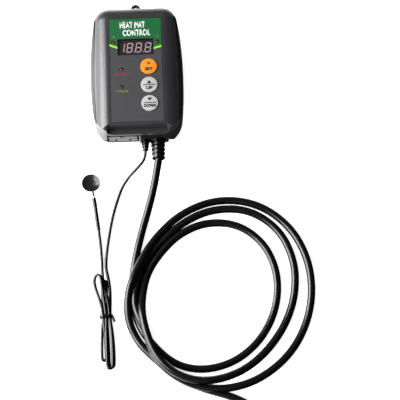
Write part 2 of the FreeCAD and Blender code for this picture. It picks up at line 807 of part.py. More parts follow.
def outlet_body():
    """The insulating block, with a slot and a room behind it for each contact."""
    y0 = OUTLET_FACE_Y
    room, back = y0 + CONTACT_DEPTH, y0 + OUTLET_DEPTH - BACK_WALL
    body = outlet_frame(OUTLET_RIM + 0.08, y0, y0 + OUTLET_DEPTH)
    body = body.cut(leaning_end(OUTLET_FOOT_Y, OUTLET_FACE_Y - BODY_BOTTOM))
    half, (room_x, room_z) = SLOT_WIDE / 2, CONTACT_ROOM
    tools = []
    for x, z, high in blade_slots():
        tools.append(box(x - half, x + half, y0 - 1, room + 1, z - high, z + high))
        tools.append(box(x - room_x, x + room_x, room, back, z - room_z, z + room_z))
    tools.append(rod((OUTLET_X, y0 - 1, GROUND_Z), (0, 1, 0), OUTLET_DEPTH - 1, GROUND_HOLE_R))
    tools.append(rod((OUTLET_X, room, GROUND_Z), (0, 1, 0), back - room, GROUND_ROOM_R))
    return cut(body, tools)


def blade_contact(x, z):
    """A folded brass clip whose two leaves grip a blade."""
    spread, half, high = CONTACT_LEAF
    y0 = OUTLET_FACE_Y + CONTACT_DEPTH + 0.3
    y1 = y0 + CONTACT_LONG
    leaves = [
        box(leaf - half, leaf + half, y0, y1, z - high, z + high) for leaf in (x - spread, x + spread)
    ]
    outer = spread + half
    bridge = box(x - outer, x + outer, y1 - 2 * half, y1, z - high, z + high)
    return fuse([*leaves, bridge])


def ground_contact():
    y0 = OUTLET_FACE_Y + CONTACT_DEPTH + 0.6
    long, half = GROUND_SLEEVE_LONG, GROUND_SLIT
    sleeve = rod((OUTLET_X, y0, GROUND_Z), (0, 1, 0), long, GROUND_SLEEVE_R)
    bore = rod((OUTLET_X, y0 - 1, GROUND_Z), (0, 1, 0), long + 2, GROUND_HOLE_R + 0.05)
    slit = box(OUTLET_X - half, OUTLET_X + half, y0 - 1, y0 + long + 1, GROUND_Z, GROUND_Z + 5)
    return cut(sleeve, [bore, slit])


# Cable exits


def power_strain_relief():
    """A ribbed boot: an inner flange, a neck in the wall, and rings on a tapered core."""
    x, z = POWER_EXIT
    reach = BODY_BOTTOM - RELIEF_TIP_Y
    wall = REAR_WALL
    profile = [(-wall - 2.6, CORD_R), (-wall - 2.6, 6.6), (-wall - 0.1, 6.6), (-wall - 0.1, 4.5)]
    profile += [(0.1, 4.5), (0.1, 6.9), (2.6, 6.7)]
    rings, gap = 4, 2.0
    pitch = (reach - 2.6) / rings
    for index in range(rings):
        start = 2.6 + index * pitch
        radius = 6.35 - 0.15 * index
        profile += [(start, 4.9), (start + gap, 4.8), (start + gap + 0.3, radius)]
        profile += [(start + pitch - 0.3, radius)]
    profile += [(reach, 5.4), (reach, CORD_R)]
    return revolved(profile, (x, BODY_BOTTOM, z), (0, -1, 0))


def sensor_strain_relief():
    x, z = SENSOR_EXIT
    reach = BODY_BOTTOM - SENSOR_RELIEF_TIP_Y
    wall = REAR_WALL
    profile = [(-wall - 2.2, CABLE_R), (-wall - 2.2, 4.2), (-wall - 0.1, 4.2), (-wall - 0.1, 2.5)]
    profile += [(0.1, 2.5), (0.1, 4.1), (1.8, 3.9)]
    rings, gap = 3, 1.2
    pitch = (reach - 1.8) / rings
    for index in range(rings):
        start = 1.8 + index * pitch
        radius = 3.6 - 0.35 * index
        profile += [(start, radius - 0.9), (start + gap, radius - 1.0), (start + gap + 0.2, radius)]
        profile += [(start + pitch - 0.2, radius - 0.1)]
    profile += [(reach, 2.2), (reach, CABLE_R)]
    return revolved(profile, (x, BODY_BOTTOM, z), (0, -1, 0))


# Mains cord, coil and plug


def ellipse_face(spec, grow):
    """A face inside a tilted ellipse, given as centre x, centre y and half axes."""
    x, y, a, b = spec
    ring = Part.Ellipse(vec(x, y, 0), a + grow, b + grow).toShape()
    ring.rotate(vec(x, y, 0), vec(0, 0, 1), COIL_TILT)
    return Part.Face(Part.Wire(ring))


def power_cord_coil():
    """Three loose turns, stacked two deep on the left and three deep where they cross."""
    around = ellipse_face(COIL_OUTER, CORD_R + COIL_SPARE)
    hollow = ellipse_face(COIL_INNER, -CORD_R - COIL_SPARE)
    flat = around.cut(hollow)
    ring, left, crossing = (flat.extrude(vec(0, 0, high)) for high in COIL_LAYERS)
    left = left.common(box(*COIL_LEFT, 0, COIL_LAYERS[1]))
    crossing = crossing.common(box(*COIL_CROSSING, 0, COIL_LAYERS[2]))
    return fuse([ring, left, crossing])


def plug_body():
    """A moulded plug: a ribbed boot that widens into a block with a finger waist."""
    low, high = 0.0, PLUG_HEIGHT
    block = box(PLUG_BODY_X, PLUG_FACE_X, PLUG_Y - PLUG_HALF_Y, PLUG_Y + PLUG_HALF_Y, low, high)
    block = block.makeFillet(4.0, [e for e in block.Edges if e.Vertexes[0].Point.x != e.Vertexes[1].Point.x])
    profile = [(0.0, CORD_R), (0.0, 5.2)]
    reach, rings = PLUG_BODY_X - PLUG_BACK_X, 4
    for index in range(rings):
        start = 1.5 + index * 4.4
        radius = 5.6 + 0.75 * index
        profile += [(start, radius), (start + 2.2, radius + 0.3), (start + 2.5, radius - 0.6)]
        profile += [(start + 4.1, radius - 0.2)]
    profile += [(reach + 2.0, 8.6), (reach + 2.0, CORD_R)]
    boot = revolved(profile, (PLUG_BACK_X, PLUG_Y, PLUG_AXIS_Z), (1, 0, 0))
    grips = [
        rod((PLUG_BODY_X + 10, PLUG_Y + s * (PLUG_HALF_Y + 17.0), -1), (0, 0, 1), 40, 18.6)
        for s in (-1, 1)
    ]
    return fuse([cut(block, grips), boot])


def plug_blades():
    solids = []
    for side in (-1, 1):
        y = PLUG_Y + side * BLADE_PITCH / 2
        blade = box(
            PLUG_FACE_X, PLUG_FACE_X + BLADE_LONG, y - BLADE_THICK / 2, y + BLADE_THICK / 2,
            BLADE_Z - BLADE_WIDE / 2, BLADE_Z + BLADE_WIDE / 2,
        )
        tip = [e for e in blade.Edges if min(v.Point.x for v in e.Vertexes) > PLUG_FACE_X + BLADE_LONG - 0.1]
        blade = blade.makeChamfer(0.5, tip)
        hole = rod((PLUG_FACE_X + 11.7, y - 2, BLADE_Z), (0, 1, 0), 4, 1.6)
        solids.append(blade.cut(hole))
    return Part.makeCompound(solids)


def plug_ground_pin():
    z = BLADE_Z + GROUND_TO_BLADES
    straight = PIN_LONG - PIN_R
    pin = rod((PLUG_FACE_X, PLUG_Y, z), (1, 0, 0), straight, PIN_R)
    return fuse([pin, Part.makeSphere(PIN_R, vec(PLUG_FACE_X + straight, PLUG_Y, z))])


# Probe cable


def sensor_hank():
    """Six runs of cable folded flat, narrow at the tie and open above and below it."""
    legs = [
        ((-32.0, -192.0), (-32.3, -226.0), 3.6),
        ((-41.8, -197.0), (-36.0, -226.0), 2.6),
        ((-40.6, -193.5), (-34.0, -192.0), 3.2),
        ((-33.2, -226.0), (-33.2, -236.0), 4.6),
        ((-31.0, -237.0), (-29.6, -272.5), 4.2),
        ((-35.8, -237.0), (-37.2, -266.0), 3.6),
        ((-35.4, -268.5), (-30.2, -272.5), 4.2),
    ]
    return fuse([stadium(a, b, r, 0.0, 7.6) for a, b, r in legs])


def cable_tie():
    """A thin wire tie round the middle of the hank, with its twisted end."""
    wide, high, thick, long = 5.9, 8.7, 1.0, 2.4
    x, y = -33.2, TIE_Y
    outer = round_box(-wide, wide, -high / 2, high / 2, 0, long, 3.6)
    inner = round_box(-wide + thick, wide - thick, -high / 2 + thick, high / 2 - thick, -1, long + 1, 2.6)
    band = outer.cut(inner)
    band.Placement = FreeCAD.Placement(vec(x, y + long / 2, high / 2), FreeCAD.Rotation(vec(1, 0, 0), 90))
    twist = rod((x + wide - 0.5, y, high / 2), (0.35, -0.9, -0.1), 5.0, 1.1)
    return fuse([band, twist.cut(box(x - 4.8, x + 4.8, y - 9, y + 9, 0, 10))])


def along_probe(distance):
    start, end = vec(*PROBE_START), vec(*PROBE_END)
    heading = (end - start).normalize()
    return start + heading * distance, heading


def probe_sleeve():
    base, heading = along_probe(0)
    profile = [(0, 0), (0, 1.6), (1.0, SLEEVE_R), (SLEEVE_LONG, SLEEVE_R), (SLEEVE_LONG, 0)]
    return revolved(profile, base, heading)


def probe_capsule():
    base, heading = along_probe(SLEEVE_LONG)
    long = (vec(*PROBE_END) - vec(*PROBE_START)).Length - SLEEVE_LONG
    profile = [(0, 0), (0, CAPSULE_R), (long - 1.0, CAPSULE_R), (long - 0.3, CAPSULE_R - 0.4)]
    profile += [(long, CAPSULE_R - 1.0), (long, 0)]
    return revolved(profile, base, heading)


def suction_cup():
    """A rubber cup whose ball-ended neck the capsule passes through."""
    centre, heading = along_probe(CUP_AT)
    up = heading.cross(vec(0, 0, 1)).cross(heading).normalize()
    profile = [(3.0, 0), (2.6, 2.6), (3.3, 3.0), (3.8, 4.4), (4.9, 6.6), (6.4, CUP_R), (7.0, CUP_R)]
    profile += [(5.9, 6.2), (5.1, 4.2), (4.7, 2.0), (4.6, 0)]
    cup = revolved(profile, centre, up)
    knob = Part.makeSphere(CUP_BALL_R, centre)
    bore = rod(centre - heading * 20, heading, 40, CAPSULE_R + CUP_BORE_GAP)
    return fuse([cup, knob]).cut(bore)


def build():
    nodes = {
        "rear_shell": rear_shell(),
        "front_shell": front_shell(),
        "hanging_tab": hanging_tab(),
        "rating_label": rating_label(),
        "housing_screws": housing_screws(),
        "face_overlay": face_overlay(),
        "display_window": display_window(),
        "display_module": display_module(),
        "display_segments": display_segments(),
        "control_board": control_board(),
        "power_board": power_board(),
        "board_screws": board_screws(),
        "power_relay": relay(),
        "transformer": transformer(),
        "capacitors": capacitors(),
        "fuse_link": fuse_link(),
        "terminal_block": terminal_block(),
        "microcontroller": under_board(CHIP),
        "sensor_socket": under_board(SOCKET),
        "board_link": board_link(),
        "outlet_body": outlet_body(),
        "ground_contact": ground_contact(),
        "power_strain_relief": power_strain_relief(),
        "sensor_strain_relief": sensor_strain_relief(),
        "power_cord_lead": tube(LEAD_ROUTE, CORD_R, "power_cord_lead"),
        "power_cord_coil": power_cord_coil(),
        "power_cord_tail": tube(TAIL_ROUTE, CORD_R, "power_cord_tail"),
        "plug_body": plug_body(),
        "plug_blades": plug_blades(),
        "plug_ground_pin": plug_ground_pin(),
        "sensor_lead": tube(SENSOR_ROUTE, CABLE_R, "sensor_lead"),
        "sensor_hank": sensor_hank(),
        "sensor_tail": tube(SENSOR_TAIL_ROUTE, CABLE_R, "sensor_tail"),
        "cable_tie": cable_tie(),
        "probe_sleeve": probe_sleeve(),
        "probe_capsule": probe_capsule(),
        "suction_cup": suction_cup(),
    }
    for name, (x, z, _) in zip(("hot_contact", "neutral_contact"), blade_slots()):
        nodes[name] = blade_contact(x, z)
    for name in WIRE_XS:
        nodes[name + "_wire"] = mains_wire(name)
    for name, (x, y) in LED_PLACES.items():
        nodes[name] = led(x, y)
    for name, y in KEY_YS.items():
        nodes[name + "_button"] = key_cap(y)
        nodes[name + "_plunger"] = plunger(y)
        nodes[name + "_switch"] = key_switch(y)
    return nodes


os.makedirs("parts", exist_ok=True)
for name, shape in build().items():
    shape.exportStep("parts/" + name + ".step")
    print(name, "valid" if shape.isValid() else "INVALID", len(shape.Solids), round(shape.Volume, 1))
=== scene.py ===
import json
import math

import bmesh
import bpy
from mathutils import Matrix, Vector


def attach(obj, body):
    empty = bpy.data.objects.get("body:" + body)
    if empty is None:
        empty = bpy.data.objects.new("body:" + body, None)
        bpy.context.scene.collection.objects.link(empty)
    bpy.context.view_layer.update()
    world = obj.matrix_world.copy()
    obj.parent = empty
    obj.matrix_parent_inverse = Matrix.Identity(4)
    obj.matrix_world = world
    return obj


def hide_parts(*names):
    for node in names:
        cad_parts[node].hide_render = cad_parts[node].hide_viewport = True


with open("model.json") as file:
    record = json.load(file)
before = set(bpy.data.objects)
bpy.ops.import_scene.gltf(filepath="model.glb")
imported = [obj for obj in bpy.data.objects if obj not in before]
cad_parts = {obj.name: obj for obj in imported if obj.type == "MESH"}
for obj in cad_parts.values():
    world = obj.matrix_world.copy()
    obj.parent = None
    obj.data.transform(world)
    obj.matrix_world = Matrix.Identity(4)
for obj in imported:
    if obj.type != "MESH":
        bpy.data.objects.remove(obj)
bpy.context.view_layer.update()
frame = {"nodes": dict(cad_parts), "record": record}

MM = 0.001
CAMERA_PLACE = (0.0344, -0.6117, 1.4183)
CAMERA_TARGET = (0.0531, -0.1237, 0.0)
LENS = 150
CENTRE = (0.0, -0.12, 0.0)
# Each soft light: name, place, target, width, height, power in watts
SOFTBOXES = [
    ("left_high", (-0.72, -0.12, 1.05), CENTRE, 1.5, 0.14, 15),
    ("left_middle", (-1.00, -0.12, 0.74), CENTRE, 1.5, 0.34, 22),
    ("left_low", (-1.20, -0.15, 0.38), (0.0, -0.15, 0.0), 1.5, 0.45, 14),
    ("right_low", (1.35, -0.15, 0.50), (0.05, -0.12, 0.0), 1.2, 0.35, 2.5),
    ("behind_camera", (0.0, -1.5, 1.3), CENTRE, 0.9, 0.5, 3),
]
WORLD_LEVEL = 0.12
TABLE_HALF = 4.0
TABLE_GAP = 0.0002
TABLE_GLOW = 0.85

# The face, in millimetres, for the printing on it
FACE_Z = 41.8
KEY_X = 11.2
KEY_YS = {"set": -9.6, "up": -27.4, "down": -45.2}
KEY_TOP = 43.3
KEY_CROWN = 60.0
PRINT_LIFT = 0.05
PRINT_THICK = 0.00004
LED_HOLE_R = 1.9
DISPLAY_HALF_X = 16.35
DISPLAY_TOP = 18.3
FIELD_HALF_X = 23.4
FIELD_TOP = 38.1
SCALE_LEDS = [(-19.9, 15.0), (19.9, 15.0)]
# Each word: letters, centre x, centre y, width, height, boldness, ink
FACE_WORDS = [
    ("HEAT MAT", -2.2, 32.0, 23.0, 6.4, 0.04, "print_white"),
    ("CONTROL", 1.4, 24.2, 25.2, 6.2, 0.04, "print_white"),
    ("\u00b0F", -20.0, 20.2, 3.2, 2.3, 0.0, "print_pale"),
    ("\u00b0C", 19.7, 20.2, 3.2, 2.3, 0.0, "print_pale"),
    ("HEATING", -12.7, -16.2, 13.2, 2.0, 0.0, "print_red"),
    ("POWER", -12.7, -32.8, 10.5, 2.0, 0.02, "print_olive"),
]
KEY_WORDS = {
    "set": ("SET", 11.3, -12.4, 7.2, 3.0),
    "up": ("UP", 11.4, -30.6, 6.0, 3.0),
    "down": ("DOWN", 11.4, -47.9, 10.9, 3.0),
}
KEY_WORD_BOLD = 0.06
SET_DOT = (11.3, -6.9, 1.3)
UP_ARROW = [(9.1, -26.6), (11.3, -23.4), (13.5, -26.6)]
UP_BAR = (11.3, -27.7)
DOWN_ARROW = [(9.2, -40.2), (13.6, -40.2), (11.4, -43.6)]
DOWN_BAR = (11.4, -45.1)
KEY_BAR_SIZE = (11.0, 0.8)
BAR_STEPS = 8
MARK_SLOTS = {"set": "print_slate", "up": "print_black", "down": "print_black"}

POWER_DIAMETER = 0.0070
SENSOR_DIAMETER = 0.0028
SHRINK_DIAMETER = 0.0036
SHARP_ANGLE = 32


# Camera and room


def look_at(thing, target):
    heading = Vector(target) - thing.location
    thing.rotation_euler = heading.to_track_quat("-Z", "Y").to_euler()


def camera():
    data = bpy.data.cameras.new("camera")
    data.lens = LENS
    data.sensor_width = 36
    data.clip_end = 20
    thing = bpy.data.objects.new("camera", data)
    thing.location = CAMERA_PLACE
    bpy.context.scene.collection.objects.link(thing)
    look_at(thing, CAMERA_TARGET)
    bpy.context.scene.camera = thing


def softbox(name, place, target, wide, high, power):
    data = bpy.data.lights.new(name, "AREA")
    data.shape = "RECTANGLE"
    data.size, data.size_y = wide, high
    data.energy = power
    thing = bpy.data.objects.new(name, data)
    thing.location = place
    bpy.context.scene.collection.objects.link(thing)
    look_at(thing, target)


def white_table():
    mesh = bpy.data.meshes.new("table")
    half = TABLE_HALF
    corners = [(-half, -half, 0), (half, -half, 0), (half, half, 0), (-half, half, 0)]
    mesh.from_pydata(corners, [], [(0, 1, 2, 3)])
    table = bpy.data.objects.new("table", mesh)
    table.location.z = -TABLE_GAP
    bpy.context.scene.collection.objects.link(table)
    table.data.materials.append(table_material())


def room():
    """Soft lights, strong on the left and weak elsewhere, over a white table in a dim room."""
    for spec in SOFTBOXES:
        softbox(*spec)
    world = bpy.data.worlds.new("room")
    world.use_nodes = True
    background = world.node_tree.nodes["Background"]
    background.inputs["Color"].default_value = (1.0, 1.0, 1.0, 1)
    background.inputs["Strength"].default_value = WORLD_LEVEL
    bpy.context.scene.world = world
    bpy.context.scene.view_settings.view_transform = "Standard"
    white_table()


# Materials


def base_material(name):
    made = bpy.data.materials.new(name)
    made.use_nodes = True
    return made, made.node_tree, made.node_tree.nodes["Principled BSDF"]


def table_material():
    """White and partly self-lit, so that the background stays white."""
    made, tree, shader = base_material("table_white")
    cloud = tree.nodes.new("ShaderNodeTexNoise")
    cloud.inputs["Scale"].default_value = 3.0
    ramp = tree.nodes.new("ShaderNodeValToRGB")
    ramp.color_ramp.elements[0].color = (0.92, 0.92, 0.92, 1)
    ramp.color_ramp.elements[1].color = (0.95, 0.95, 0.95, 1)
    tree.links.new(cloud.outputs["Fac"], ramp.inputs["Fac"])
    tree.links.new(ramp.outputs["Color"], shader.inputs["Base Color"])
    shader.inputs["Roughness"].default_value = 0.9
    shader.inputs["Specular IOR Level"].default_value = 0.1
    shader.inputs["Emission Color"].default_value = (1, 1, 1, 1)
    shader.inputs["Emission Strength"].default_value = TABLE_GLOW
    return made


def noise(tree, source, scale, detail=3.0):
    node = tree.nodes.new("ShaderNodeTexNoise")
    node.inputs["Scale"].default_value = scale
    node.inputs["Detail"].default_value = detail
    tree.links.new(source, node.inputs["Vector"])
    return node.outputs["Fac"]


def ranged(tree, source, low, high):
    node = tree.nodes.new("ShaderNodeMapRange")
    node.inputs["From Min"].default_value = 0.3
    node.inputs["From Max"].default_value = 0.7
    node.inputs["To Min"].default_value = low
    node.inputs["To Max"].default_value = high
    tree.links.new(source, node.inputs["Value"])
    return node.outputs["Result"]


def painted_side_highlight(tree, middle):
    """A painted highlight and painted reflection, set by which way a surface faces: strong to the left and
    weak to the right or front.

    It stands in for the dark right side of the studio and isn't a property of the plastic.
    """
    normal = tree.nodes.new("ShaderNodeNewGeometry").outputs["Normal"]
    dot = tree.nodes.new("ShaderNodeVectorMath")
    dot.operation = "DOT_PRODUCT"
    dot.inputs[1].default_value = (-0.75, 0.4, 0.0)
    tree.links.new(normal, dot.inputs[0])
    level = tree.nodes.new("ShaderNodeMath")
    level.operation = "ADD"
    level.use_clamp = True
    level.inputs[1].default_value = middle
    tree.links.new(dot.outputs["Value"], level.inputs[0])
    return level.outputs["Value"]


def finish_of(name, colour, rough, spread=0.05, mottle=0.08, mottle_scale=60.0, grain=0.0,
              grain_scale=2200.0, sheen=None, **sockets):
    """A moulded, cast or plated surface: mottled colour, uneven gloss and a fine grain, and where a level is
    given, a painted highlight set by which way the surface faces.
    """
    made, tree, shader = base_material(name)
    place = tree.nodes.new("ShaderNodeTexCoord").outputs["Object"]
    cloud = noise(tree, place, mottle_scale)
    ramp = tree.nodes.new("ShaderNodeValToRGB")
    ramp.color_ramp.elements[0].position = 0.3
    ramp.color_ramp.elements[1].position = 0.7
    ramp.color_ramp.elements[0].color = (*(c * (1 - mottle) for c in colour), 1)
    ramp.color_ramp.elements[1].color = (*(min(1, c * (1 + mottle)) for c in colour), 1)
    tree.links.new(cloud, ramp.inputs["Fac"])
    tree.links.new(ramp.outputs["Color"], shader.inputs["Base Color"])
    gloss = ranged(tree, noise(tree, place, mottle_scale * 6), rough - spread, rough + spread)
    tree.links.new(gloss, shader.inputs["Roughness"])
    if grain:
        bump = tree.nodes.new("ShaderNodeBump")
        bump.inputs["Strength"].default_value = grain
        bump.inputs["Distance"].default_value = 0.00005
        tree.links.new(noise(tree, place, grain_scale, 2.0), bump.inputs["Height"])
        tree.links.new(bump.outputs["Normal"], shader.inputs["Normal"])
    # Painted highlight: the specular level follows which way the surface faces, not the plastic.
    if sheen is not None:
        tree.links.new(painted_side_highlight(tree, sheen), shader.inputs["Specular IOR Level"])
    for socket, value in sockets.items():
        shader.inputs[socket.replace("_", " ")].default_value = value
    return made


METAL = {"Metallic": 1.0}
FINISHES = {
    # The last level in charcoal_plastic and dark_plastic is a painted highlight, bright on faces turned to
    # the left.
    "charcoal_plastic": ((0.026, 0.025, 0.028), 0.30, {"spread": 0.02, "sheen": 0.5}),
    "dark_plastic": ((0.014, 0.014, 0.016), 0.34, {"spread": 0.02, "sheen": 0.3}),
    "overlay_print": ((0.034, 0.034, 0.036), 0.5, {"grain": 0.25, "mottle": 0.04}),
    "label_film": ((0.50, 0.51, 0.52), 0.4, {"grain": 0.15}),
    "smoked_lens": ((0.020, 0.008, 0.012), 0.06, {"spread": 0.02, "Alpha": 0.28}),
    "display_block": ((0.040, 0.022, 0.030), 0.6, {}),
    # The segments' emission is a painted glow that only brightens their pale colour.
    "segment": ((0.80, 0.70, 0.72), 0.5, {"Emission_Color": (0.8, 0.66, 0.7, 1), "Emission_Strength": 0.22}),
    "led_red": ((0.16, 0.008, 0.018), 0.3, {}),
    "led_dark": ((0.045, 0.006, 0.010), 0.3, {}),
    "key_orange": ((0.66, 0.205, 0.008), 0.42, {"grain": 0.3, "mottle": 0.03}),
    "key_grey": ((0.37, 0.37, 0.365), 0.42, {"grain": 0.3, "mottle": 0.03}),
    "board_green": ((0.02, 0.12, 0.05), 0.35, {"mottle": 0.25, "mottle_scale": 400.0}),
    "component_black": ((0.02, 0.02, 0.022), 0.45, {"grain": 0.3}),
    "component_blue": ((0.03, 0.08, 0.28), 0.35, {}),
    "connector_white": ((0.75, 0.75, 0.70), 0.45, {}),
    "glass_clear": ((0.85, 0.90, 0.90), 0.05, {"spread": 0.02, "Transmission_Weight": 0.9}),
    "steel": ((0.55, 0.55, 0.56), 0.3, {"grain": 0.2, **METAL}),
    "laminated_steel": ((0.20, 0.20, 0.21), 0.45, {"grain": 0.5, **METAL}),
    "brass": ((0.72, 0.50, 0.18), 0.25, {**METAL}),
    "nickel": ((0.72, 0.71, 0.69), 0.18, {"spread": 0.05, **METAL}),
    # The last level in outlet_grey and black_vinyl is a painted highlight, bright on faces turned to the
    # left.
    "outlet_grey": ((0.20, 0.20, 0.20), 0.5, {"grain": 0.1, "sheen": 0.2}),
    "black_vinyl": ((0.003, 0.003, 0.0035), 0.2, {"grain": 0.05, "grain_scale": 900.0, "sheen": 0.3}),
    "wire_black": ((0.01, 0.01, 0.01), 0.35, {}),
    "wire_white": ((0.75, 0.75, 0.72), 0.4, {}),
    "wire_green": ((0.02, 0.25, 0.06), 0.4, {}),
    "cup_rubber": ((0.008, 0.008, 0.009), 0.26, {"grain": 0.15}),
    "print_green": ((0.0, 0.088, 0.020), 0.45, {"mottle": 0.05}),
    "print_lime": ((0.22, 0.56, 0.015), 0.45, {"mottle": 0.04}),
    "print_white": ((0.60, 0.61, 0.60), 0.45, {"mottle": 0.04}),
    "print_pale": ((0.16, 0.22, 0.18), 0.45, {"mottle": 0.04}),
    "print_red": ((0.30, 0.012, 0.014), 0.45, {"mottle": 0.04}),
    "print_olive": ((0.12, 0.20, 0.02), 0.45, {"mottle": 0.04}),
    "print_black": ((0.008, 0.008, 0.008), 0.6, {"mottle": 0.04}),
    "print_slate": ((0.045, 0.06, 0.075), 0.5, {"mottle": 0.04}),
    "tie_grey": ((0.22, 0.22, 0.22), 0.35, {"grain": 0.3}),
}
MADE = {}


def finish(name):
    if name not in MADE:
        colour, rough, extra = FINISHES[name]
        MADE[name] = finish_of(name, colour, rough, **extra)
    return MADE[name]


def dress_cad():
    """Every CAD node gets its slot's finish and shading that is smooth but for its edges."""
    for sub in frame["record"]["subparts"]:
        node = frame["nodes"][sub["node"]]
        node.data.materials.clear()
        node.data.materials.append(finish(sub["material_slot"]))
        node.data.shade_smooth()
        node.data.set_sharp_from_angle(angle=math.radians(SHARP_ANGLE))


# Cords


POWER_LEAD = [
    (0.0172, -0.0888, 0.0160),
    (0.0146, -0.1030, 0.0142),
    (0.0106, -0.1190, 0.0086),
    (0.0052, -0.1360, 0.0044),
    (0.0002, -0.1520, 0.0035),
    (-0.0040, -0.1680, 0.0035),
    (-0.0075, -0.1840, 0.0035),
]
UNDER_LEFT = [
    (-0.0098, -0.1995, 0.0035),
    (-0.0102, -0.2155, 0.0035),
    (-0.0076, -0.2310, 0.0035),
    (-0.0012, -0.2460, 0.0035),
    (0.0086, -0.2590, 0.0035),
    (0.0205, -0.2710, 0.0035),
    (0.0360, -0.2790, 0.0035),
    (0.0565, -0.2805, 0.0035),
]
INNER_TO_MIDDLE = [
    (0.0036, -0.1915, 0.0035),
    (-0.0010, -0.2115, 0.0084),
    (-0.0020, -0.2305, 0.0154),
    (0.0015, -0.2485, 0.0178),
    (0.0075, -0.2655, 0.0174),
    (0.0175, -0.2795, 0.0170),
    (0.0315, -0.2895, 0.0170),
    (0.0495, -0.2940, 0.0168),
    (0.0695, -0.2910, 0.0148),
    (0.0895, -0.2810, 0.0080),
]
MIDDLE_TO_OUTER = [
    (-0.0005, -0.1845, 0.0050),
    (-0.0060, -0.2035, 0.0088),
    (-0.0085, -0.2190, 0.0112),
    (-0.0050, -0.2320, 0.0106),
    (0.0010, -0.2440, 0.0102),
    (0.0040, -0.2575, 0.0102),
    (0.0100, -0.2720, 0.0102),
    (0.0230, -0.2855, 0.0102),
    (0.0425, -0.2965, 0.0102),
    (0.0685, -0.3005, 0.0100),
]
OUTER_TO_FLOOR = [
    (-0.0030, -0.1845, 0.0108),
    (-0.0120, -0.2060, 0.0126),
    (-0.0145, -0.2235, 0.0106),
    (-0.0130, -0.2375, 0.0064),
    (-0.0085, -0.2485, 0.0038),
    (-0.0030, -0.2575, 0.0035),
    (0.0045, -0.2655, 0.0035),
    (0.0130, -0.2740, 0.0035),
    (0.0235, -0.2830, 0.0035),
    (0.0350, -0.2905, 0.0035),
    (0.0465, -0.2960, 0.0035),
]
POWER_TAIL = [
    (0.0580, -0.3000, 0.0035),
    (0.0720, -0.3045, 0.0035),
    (0.0880, -0.3125, 0.0035),
    (0.1040, -0.3235, 0.0035),
    (0.1200, -0.3345, 0.0046),
    (0.1370, -0.3420, 0.0080),
    (0.1530, -0.3450, 0.0115),
]
# Each loose turn is a tilted oval: centre x, centre y, half axes, tilt in degrees
INNER_TURN = (0.0594, -0.2130, 0.0679, 0.0570, 68.3)
MIDDLE_TURN = (0.0642, -0.2117, 0.0816, 0.0658, 60.4)
OUTER_TURN = (0.0709, -0.2122, 0.0874, 0.0762, 74.0)
TURN_STEP = 22.5
TURN_GROW = 1.0196
ON_TABLE = 0.0035

SENSOR_LEAD = [
    (0.0058, -0.0805, 0.0160),
    (0.0053, -0.0876, 0.0155),
    (-0.0004, -0.0940, 0.0130),
    (-0.0086, -0.1004, 0.0082),
    (-0.0162, -0.1090, 0.0032),
    (-0.0212, -0.1215, 0.0014),
    (-0.0256, -0.1360, 0.0014),
    (-0.0289, -0.1520, 0.0014),
    (-0.0316, -0.1685, 0.0014),
    (-0.0330, -0.1840, 0.0014),
]
SENSOR_TAIL = [
    (-0.0360, -0.1900, 0.0032),
    (-0.0362, -0.1780, 0.0016),
    (-0.0372, -0.1625, 0.0014),
    (-0.0386, -0.1490, 0.0021),
    (-0.0399, -0.1385, 0.0032),
    (-0.0408, -0.1293, 0.0040),
]


def turn(oval, first, last, heights):
    """Points round an oval, anticlockwise from one bearing to another, in degrees."""
    x, y, a, b, tilt = oval
    steps = round((last - first) / TURN_STEP)
    points = []
    for step in range(steps + 1):
        bearing = math.radians(first + (last - first) * step / steps)
        t = bearing - math.radians(tilt)
        r = TURN_GROW * a * b / math.hypot(b * math.cos(t), a * math.sin(t))
        z = heights.get(step, ON_TABLE)
        points.append((x + r * math.cos(bearing), y + r * math.sin(bearing), z))
    return points


def power_route():
    route = POWER_LEAD + UNDER_LEFT
    route += turn(INNER_TURN, 288, 498, {})
    route += INNER_TO_MIDDLE
    route += turn(MIDDLE_TURN, 310, 498, {0: 0.0046})
    route += MIDDLE_TO_OUTER
    route += turn(OUTER_TURN, 288, 498, {0: 0.0086, 1: 0.0052, 9: 0.0045})
    return route + OUTER_TO_FLOOR + POWER_TAIL


def fold(centre_x, centre_y, r, first, z0, z1):
    """Four points round half a circle, from one run of the hank into the next."""
    points = []
    for step in range(4):
        bearing = math.radians(first + (45 if r > 0 else -45) * (step + 0.5))
        reach = abs(r) / math.cos(math.radians(22.5))
        z = z0 + (z1 - z0) * (step + 0.5) / 4
        points.append((centre_x + reach * math.cos(bearing), centre_y + reach * math.sin(bearing), z))
    return points


